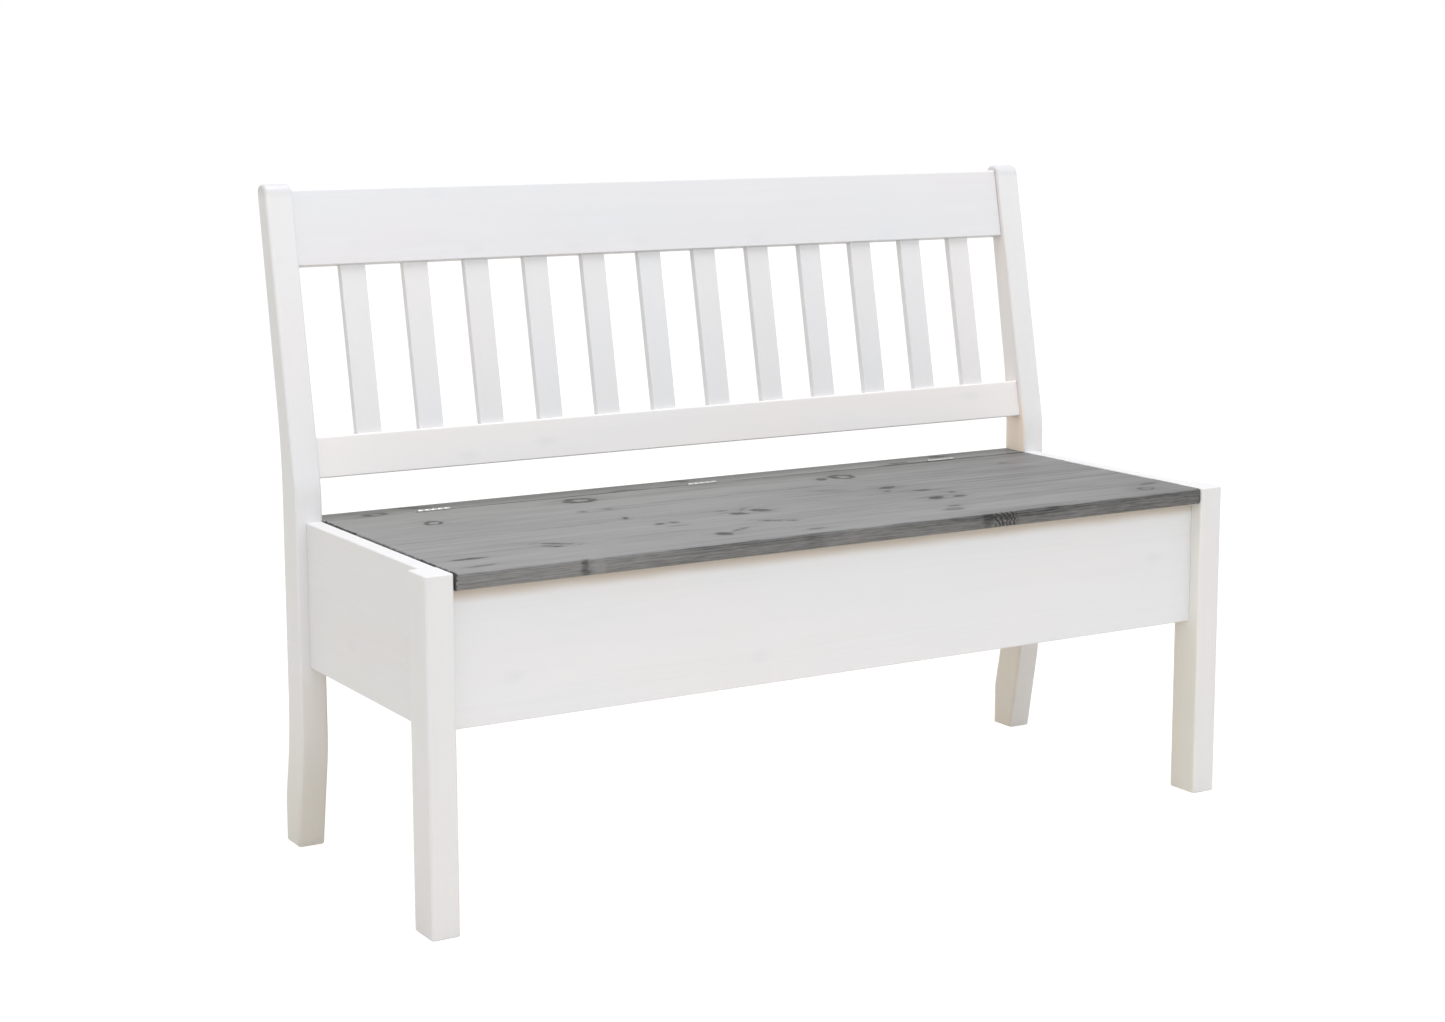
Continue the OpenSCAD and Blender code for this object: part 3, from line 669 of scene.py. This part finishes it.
def soften(bm, edges, r, n=3):
    if r > 0 and edges:
        bmesh.ops.bevel(bm, geom=edges, offset=r, segments=n, profile=0.5,
                        affect="EDGES", clamp_overlap=True)


def rim(bm, length, pick=lambda a, b: True):
    """The edges round the two ends of a prism."""
    ends = []
    for e in bm.edges:
        a, b = (v.co for v in e.verts)
        if abs(abs(a.x) - length / 2) < 1e-6 and abs(a.x - b.x) < 1e-6 and pick(a, b):
            ends.append(e)
    return ends


def boolean(obj, meshes, operation):
    """Joins the meshes to obj, or takes them out of it."""
    joined = bmesh.new()
    for m in meshes:
        joined.from_mesh(m)
    tool = placed("tool", mesh_of(joined, "tool"))
    mod = obj.modifiers.new("boolean", "BOOLEAN")
    mod.operation, mod.solver, mod.object, mod.use_self = operation, "EXACT", tool, True
    made = bpy.data.meshes.new_from_object(obj.evaluated_get(bpy.context.evaluated_depsgraph_get()))
    obj.modifiers.clear()
    obj.data = made
    bpy.data.objects.remove(tool)


def finish_piece(obj, size, nodes, to_place):
    """Stores the board's attributes, puts it in place, and ties it to its CAD node."""
    mesh = obj.data
    node = nodes[0]
    shares = {
        "grain": [c for v in mesh.vertices for c in v.co],
        "half": [s / 2 for s in size] * len(mesh.vertices),
    }
    for key, values in shares.items():
        mesh.attributes.new(key, "FLOAT_VECTOR", "POINT").data.foreach_set("vector", values)
    seed = draw.uniform(0.0, 9.0)
    mesh.attributes.new("seed", "FLOAT", "POINT").data.foreach_set("value", [seed] * len(mesh.vertices))
    mesh.transform(to_place)
    mesh.polygons.foreach_set("use_smooth", [True] * len(mesh.polygons))
    mesh.set_sharp_from_angle(angle=math.radians(50))
    even = obj.modifiers.new("even_normals", "WEIGHTED_NORMAL")
    even.weight, even.keep_sharp = 50, True
    mesh.materials.clear()
    mesh.materials.append(look_of(node, SLOT[node]))
    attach(obj, BODY[node])
    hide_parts(*nodes)
    return obj


def board(node, size, to_place, radii, end, end_pick=lambda a, b: True, cutters=(), shrink=0.0):
    """A board in its own frame: X along the grain, Y across it, Z through its thickness."""
    length, width, thick = size
    length -= 2 * shrink
    bm = prism(section(width, thick, radii), length)
    soften(bm, rim(bm, length, end_pick), end)
    obj = placed(node + "_wood", mesh_of(bm, node + "_wood"))
    if cutters:
        boolean(obj, cutters, "DIFFERENCE")
    return finish_piece(obj, size, (node,), to_place)


AXES = {"X": Vector((1, 0, 0)), "Y": Vector((0, 1, 0)), "Z": Vector((0, 0, 1))}


def in_box(node, along, across):
    """The size and the placing matrix of a board that fills its node's box."""
    lo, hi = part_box(node)
    a, b = AXES[along], AXES[across]
    c = a.cross(b)
    size = tuple(abs((hi - lo).dot(v)) for v in (a, b, c))
    turn = Matrix((a, b, c)).transposed().to_4x4()
    return size, Matrix.Translation((lo + hi) / 2) @ turn


def plain_board(node, along, across, radius, end, shrink=0.0):
    size, to_place = in_box(node, along, across)
    return board(node, size, to_place, (radius,) * 4, end, shrink=shrink)


# legs and box. shrink leaves a hairline joint at each end of a panel
PANEL_EASE = dict(radius=2 * MM, end=0.6 * MM, shrink=0.2 * MM)
for side in ("left", "right"):
    plain_board("front_leg_" + side, "Z", "Y", radius=4 * MM, end=2 * MM)
    plain_board("side_panel_" + side, "Y", "Z", **PANEL_EASE)
for node in ("front_panel", "back_panel"):
    plain_board(node, "X", "Z", **PANEL_EASE)
plain_board("bottom_panel", "X", "Y", radius=0.5 * MM, end=0.5 * MM)
for node, along in (("cleat_front", "X"), ("cleat_back", "X"), ("cleat_left", "Y"), ("cleat_right", "Y")):
    plain_board(node, along, "Z", radius=MM, end=0.5 * MM)
for node in ("lid_batten_left", "lid_batten_right"):
    plain_board(node, "Y", "X", radius=3 * MM, end=3 * MM)


# rear posts: the CAD side outline, with its long edges rounded
POST_EDGE = 4 * MM
POST_NO_DEPTH = 1.0                      # a post's depth varies, so its glaze takes none for edges
NEAR = 1e-5


def side_outline(node, x):
    """The outline of a node's flat side at x, as points (y, z) in order."""
    mesh = frame["nodes"][node].data
    flat = [p for p in mesh.polygons if all(abs(mesh.vertices[i].co.x - x) < NEAR for i in p.vertices)]
    used = {}
    for p in flat:
        pts = [tuple(round(c, 6) for c in mesh.vertices[i].co.yz) for i in p.vertices]
        for a, b in zip(pts, pts[1:] + pts[:1]):
            used[(a, b)] = used.get((a, b), 0) + 1
    follow = {a: b for (a, b) in used if (b, a) not in used}
    start = min(follow)
    points, at = [start], follow[start]
    while at != start:
        points.append(at)
        at = follow[at]
    return points


def post(side):
    node = "rear_post_" + side
    lo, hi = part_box(node)
    outer = hi.x if side == "right" else lo.x
    points = side_outline(node, outer)
    mid = (lo + hi) / 2
    width = hi.x - lo.x
    bm = prism([(y - mid.y, z - mid.z) for y, z in points], width)
    soften(bm, rim(bm, width), POST_EDGE, 4)
    # the board's frame: X along the post, Y across its face, Z through its depth
    for v in bm.verts:
        x, y, z = v.co
        v.co = (z, x, y)
    bmesh.ops.recalc_face_normals(bm, faces=bm.faces)
    obj = placed(node + "_wood", mesh_of(bm, node + "_wood"))
    turn = Matrix(((0, 1, 0, 0), (0, 0, 1, 0), (1, 0, 0, 0), (0, 0, 0, 1)))
    size = (hi.z - lo.z, width, POST_NO_DEPTH)
    finish_piece(obj, size, (node,), Matrix.Translation(mid) @ turn)


post("left")
post("right")

# backrest: rails and slats in a frame that leans back from the bend in the posts
RAKE = math.radians(11.2)
BEND_ABOVE_LEGS = 44 * MM
RAIL_LOWER_EDGE, RAIL_END, RAIL_SHRINK = 1.5 * MM, 0.8 * MM, 0.25 * MM
SLAT_EDGE, SLAT_END = 1.5 * MM, 0.3 * MM
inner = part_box("rear_strip")[1].x
bend = Vector((0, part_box("side_panel_left")[1].y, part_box("front_leg_left")[1].z + BEND_ABOVE_LEGS))
lean = Matrix.Translation(bend) @ Matrix.Rotation(-RAKE, 4, "X")
RAIL_Y, RAIL_THICK = 8 * MM, 22 * MM
LOWER_Z, LOWER_HIGH = 14 * MM, 55 * MM
TOP_HIGH = 103 * MM
TOP_Z = (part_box("rear_post_left")[1].z - bend.z) / math.cos(RAKE) - TOP_HIGH - 5.2 * MM
SLAT = (36 * MM, 12 * MM)
SLAT_MID = RAIL_Y + RAIL_THICK / 2
TENON = 14 * MM
SLAT_X = [(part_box(f"slat_{i + 1:02d}")[0].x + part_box(f"slat_{i + 1:02d}")[1].x) / 2 for i in range(12)]
X_Z_Y = Matrix(((1, 0, 0, 0), (0, 0, -1, 0), (0, 1, 0, 0), (0, 0, 0, 1)))   # along X, across Z
Z_X_Y = Matrix(((0, 1, 0, 0), (0, 0, 1, 0), (1, 0, 0, 0), (0, 0, 0, 1)))    # along Z, across X


def box_mesh(lo, hi):
    bm = bmesh.new()
    bmesh.ops.create_cube(bm, size=1.0)
    for v in bm.verts:
        v.co = Vector(l if c < 0 else h for c, l, h in zip(v.co, lo, hi))
    return mesh_of(bm, "box")


def mortises(z_side, high):
    """Shallow slots for the slats, in a rail's own frame, a hair wider than the slats."""
    slack = 0.35 * MM
    deep = TENON + 0.5 * MM
    lo_y, hi_y = sorted((z_side * (high / 2 - deep), z_side * (high / 2 + deep)))
    half_w, half_t = SLAT[0] / 2 + slack, SLAT[1] / 2 + slack
    return [box_mesh((x - half_w, lo_y, -half_t), (x + half_w, hi_y, half_t)) for x in SLAT_X]


for node, low, high, side, radius in (
    ("top_rail", TOP_Z, TOP_HIGH, -1, 4 * MM), ("lower_rail", LOWER_Z, LOWER_HIGH, 1, 3 * MM),
):
    at = lean @ Matrix.Translation((0, SLAT_MID, low + high / 2)) @ X_Z_Y
    radii = (radius, RAIL_LOWER_EDGE, RAIL_LOWER_EDGE, radius)
    board(node, (2 * inner, high, RAIL_THICK), at, radii, RAIL_END,
          cutters=mortises(side, high), shrink=RAIL_SHRINK)

slat_low, slat_high = LOWER_Z + LOWER_HIGH - TENON, TOP_Z + TENON
for i, x in enumerate(SLAT_X):
    at = lean @ Matrix.Translation((x, SLAT_MID, (slat_low + slat_high) / 2)) @ Z_X_Y
    board(f"slat_{i + 1:02d}", (slat_high - slat_low, *SLAT), at, (SLAT_EDGE,) * 4, SLAT_END)

# seat: four boards of the lid and the fixed strip behind it
LEAF_ROOM, BARREL_ROOM = 1.25 * MM, 3.15 * MM
PAST_TOP = 1.0                           # a cutter reaches far above the board
LID_FRONT_EDGE, LID_REAR_EDGE, LID_END = 4 * MM, 1.2 * MM, 3.5 * MM
STRIP_EDGE, STRIP_END, STRIP_SHRINK = 2 * MM, 0.6 * MM, 0.2 * MM
hinge_boxes = [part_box("hinge_leaf_fixed_" + s) for s in ("left", "middle", "right")]
hinge_x = [(lo.x + hi.x) / 2 for lo, hi in hinge_boxes]
hinge_long = hinge_boxes[0][1].x - hinge_boxes[0][0].x
joint = frame["joints"][0]
axis_y, axis_z = joint["pos_m"][1], joint["pos_m"][2]


def rod_mesh(x, y, z, r, length, n=32):
    bm = bmesh.new()
    bmesh.ops.create_cone(bm, cap_ends=True, segments=n, radius1=r, radius2=r, depth=length,
                          matrix=Matrix.Translation((x, y, z)) @ Matrix.Rotation(math.pi / 2, 4, "Y"))
    return mesh_of(bm, "rod")


def hinge_seats(mid, side):
    """Room for each hinge in the edge of the strip (side 1) or of the lid (side -1)."""
    made = []
    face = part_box("rear_strip")[0].y if side > 0 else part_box("lid_stave_4")[1].y
    for (lo, hi), x in zip(hinge_boxes, hinge_x):
        ys = sorted((face + side * LEAF_ROOM, face - side * 2 * MM))
        made.append(box_mesh((lo.x - mid.x, ys[0] - mid.y, lo.z - mid.z),
                             (hi.x - mid.x, ys[1] - mid.y, PAST_TOP)))
        made.append(rod_mesh(x - mid.x, axis_y - mid.y, axis_z - mid.z, BARREL_ROOM, hinge_long + MM))
    return made


for i in (1, 2, 3, 4):
    node = f"lid_stave_{i}"
    size, to_place = in_box(node, "X", "Y")
    mid = to_place.translation
    front = LID_FRONT_EDGE if i == 1 else 0.0
    rear = LID_REAR_EDGE if i == 4 else 0.0
    board(node, size, to_place, (rear, front, front, rear), LID_END,
          end_pick=lambda a, b: abs(a.z - b.z) < 1e-6,
          cutters=hinge_seats(mid, -1) if i == 4 else ())
size, to_place = in_box("rear_strip", "X", "Y")
radii = (STRIP_EDGE, LID_REAR_EDGE, LID_REAR_EDGE, STRIP_EDGE)
board("rear_strip", size, to_place, radii, STRIP_END,
      cutters=hinge_seats(to_place.translation, 1), shrink=STRIP_SHRINK)

# hinges: each leaf is a plate with every other knuckle of the barrel
LEAF_THICK, LEAF_DROP = 1.2 * MM, 17 * MM
PLATE_TOP = -1.6 * MM
JOINT_HALF = 0.8 * MM
KNUCKLES, KNUCKLE_R, KNUCKLE_GAP = 5, 2.25 * MM, 1.3 * MM
ROOT_INSET = 0.4 * MM
SCREW_STEP, SCREW_DROP, SCREW_HEAD_R = 16 * MM, 10.5 * MM, 3.5 * MM


def knuckle(x, r, length):
    """A barrel knuckle with eased ends, centred on the pin line at x."""
    ring = [(r * math.cos(a), r * math.sin(a)) for a in (2 * math.pi * i / 40 for i in range(40))]
    bm = prism(ring, length)
    soften(bm, rim(bm, length), 0.35 * MM, 3)
    bmesh.ops.translate(bm, verts=bm.verts, vec=(x, axis_y, axis_z))
    return mesh_of(bm, "knuckle")


def screw_seat(x, y, z):
    bm = bmesh.new()
    turn = Matrix.Rotation(math.pi / 2, 4, "X")
    bmesh.ops.create_cone(bm, cap_ends=True, segments=32, radius1=SCREW_HEAD_R, radius2=SCREW_HEAD_R,
                          depth=6 * MM, matrix=Matrix.Translation((x, y, z)) @ turn)
    return mesh_of(bm, "screw_seat")


def hinge_leaf(node, x, side):
    """A leaf of the hinge at x: side 1 is on the strip and side -1 on the lid."""
    inner_y = axis_y + side * JOINT_HALF
    lo_y, hi_y = sorted((inner_y, inner_y + side * LEAF_THICK))
    low, high = axis_z - LEAF_DROP, axis_z + PLATE_TOP
    bm = prism([(lo_y, low), (hi_y, low), (hi_y, high), (lo_y, high)], hinge_long)
    corners = [e for e in bm.edges if abs(e.verts[0].co.y - e.verts[1].co.y) > LEAF_THICK / 2]
    soften(bm, [e for e in corners if e.verts[0].co.z < axis_z - LEAF_DROP / 2], 1.5 * MM, 4)
    bmesh.ops.translate(bm, verts=bm.verts, vec=(x, 0, 0))
    obj = placed(node + "_steel", mesh_of(bm, node + "_steel"))
    pitch = hinge_long / KNUCKLES
    first = 0 if side > 0 else 1
    own = [x + (k - (KNUCKLES - 1) / 2) * pitch for k in range(first, KNUCKLES, 2)]
    barrel = [knuckle(at, KNUCKLE_R, pitch - KNUCKLE_GAP) for at in own]
    root_half = (pitch - KNUCKLE_GAP) / 2 - ROOT_INSET
    roots = [box_mesh((at - root_half, lo_y + 0.01 * MM, high - MM),
                      (at + root_half, hi_y - 0.01 * MM, axis_z)) for at in own]
    boolean(obj, barrel + roots, "UNION")
    boolean(obj, [screw_seat(x + i * SCREW_STEP, inner_y, axis_z - SCREW_DROP) for i in (-1, 0, 1)],
            "DIFFERENCE")
    obj.data.materials.clear()
    obj.data.materials.append(hinge_steel)
    obj.data.polygons.foreach_set("use_smooth", [True] * len(obj.data.polygons))
    obj.data.set_sharp_from_angle(angle=math.radians(40))
    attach(obj, BODY[node])
    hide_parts(node)


for place, x in zip(("left", "middle", "right"), hinge_x):
    hinge_leaf("hinge_leaf_fixed_" + place, x, 1)
    hinge_leaf("hinge_leaf_lid_" + place, x, -1)

# the CAD solids that stay: hinge pins, screws and dowels
for node, obj in frame["nodes"].items():
    if not obj.hide_render:
        obj.data.materials.clear()
        obj.data.materials.append(SMALL_PARTS[SLOT[node]])

# ---------------------------------------------------------------- floor and light

FLOOR_GLOW = (0.92, 0.92, 0.92)
FLOOR_TONE = (0.20, 0.20, 0.20)
BOUNCE_TONE = (0.80, 0.77, 0.71)
# light from each way, as a cube of soft lobes, set so that the bench's faces match the photo
SKY = (
    ("right", (1, 0, 0), (1.0, 1.0, 1.0)),
    ("left", (-1, 0, 0), (0.87, 0.88, 0.86)),
    ("behind", (0, 1, 0), (0.745, 0.74, 0.66)),
    ("front", (0, -1, 0), (0.90, 0.895, 0.89)),
    ("above", (0, 0, 1), (0.69, 0.70, 0.76)),
)
SOFTBOXES = (
    ("front_softbox", (-1.2, -3.6, 2.4), (0, 0, 0.5), (2.4, 2.0), 19.5, (0.96, 1.0, 1.02)),
    ("top_softbox", (0, -0.4, 4.4), (0, 0, 0), (2.4, 1.6), 79, (1.0, 0.98, 0.98)),
)


def plane(name, z):
    bm = bmesh.new()
    bmesh.ops.create_grid(bm, x_segments=1, y_segments=1, size=60.0, matrix=Matrix.Translation((0, 0, z)))
    obj = placed(name, mesh_of(bm, name))
    return obj


def floors():
    """A pale floor that only the camera sees, and a warm one under it that only throws light up."""
    for name, z, tone, glow, seen in (
        ("floor", 0.0, FLOOR_TONE, FLOOR_GLOW, True), ("floor_bounce", -MM, BOUNCE_TONE, (0, 0, 0), False),
    ):
        obj = plane(name, z)
        m, t = new_material(name)
        place = t.node("ShaderNodeTexCoord", out=3)
        haze = t.noise(place, (1.0, 1.0, 1.0), 2.0)
        color = t.mix(haze, tuple(0.98 * c for c in tone), tuple(1.02 * c for c in tone))
        shader = t.node("ShaderNodeBsdfPrincipled", {
            "Base Color": color, "Roughness": 0.8, "Specular IOR Level": 0.0,
            "Emission Color": (*glow, 1.0), "Emission Strength": 1.0,
        })
        t.node("ShaderNodeOutputMaterial", {"Surface": shader}, out=None)
        obj.data.materials.append(m)
        obj.visible_camera = seen
        obj.visible_diffuse = obj.visible_glossy = obj.visible_transmission = not seen
        obj.visible_shadow = not seen


def backdrop():
    """A white dome far behind everything, only for the camera."""
    bm = bmesh.new()
    bmesh.ops.create_uvsphere(bm, u_segments=48, v_segments=24, radius=55.0)
    obj = placed("backdrop", mesh_of(bm, "backdrop"))
    m, t = new_material("backdrop")
    glow = t.node("ShaderNodeEmission", {"Color": (1.0, 1.0, 1.0, 1.0), "Strength": 1.0})
    t.node("ShaderNodeOutputMaterial", {"Surface": glow}, out=None)
    obj.data.materials.append(m)
    obj.visible_diffuse = obj.visible_glossy = obj.visible_transmission = obj.visible_shadow = False


def sky():
    world = bpy.data.worlds.new("studio")
    bpy.context.scene.world = world
    world.use_nodes = True
    t = Tree(world.node_tree)
    toward = t.node("ShaderNodeTexCoord", out=0)
    total = None
    for name, axis, tone in SKY:
        facing = t.math("MAXIMUM", t.vec("DOT_PRODUCT", toward, axis, out=1), 0.0)
        lobe = t.node("ShaderNodeVectorMath", {0: tone, "Scale": t.math("MULTIPLY", facing, facing)},
                      operation="SCALE", name="lobe_" + name)
        total = lobe if total is None else t.vec("ADD", total, lobe)
    shader = t.node("ShaderNodeBackground", {"Color": total, "Strength": 1.0})
    t.node("ShaderNodeOutputWorld", {"Surface": shader}, out=None)


def softbox(name, at, target, size, power, tint):
    light = bpy.data.lights.new(name, "AREA")
    light.shape, light.size, light.size_y = "RECTANGLE", size[0], size[1]
    light.energy = power
    light.color = tint
    obj = placed(name, light)
    obj.location = at
    obj.rotation_euler = (Vector(target) - Vector(at)).to_track_quat("-Z", "Y").to_euler()


floors()
backdrop()
sky()
for facts in SOFTBOXES:
    softbox(*facts)
bpy.context.scene.view_settings.view_transform = "Standard"
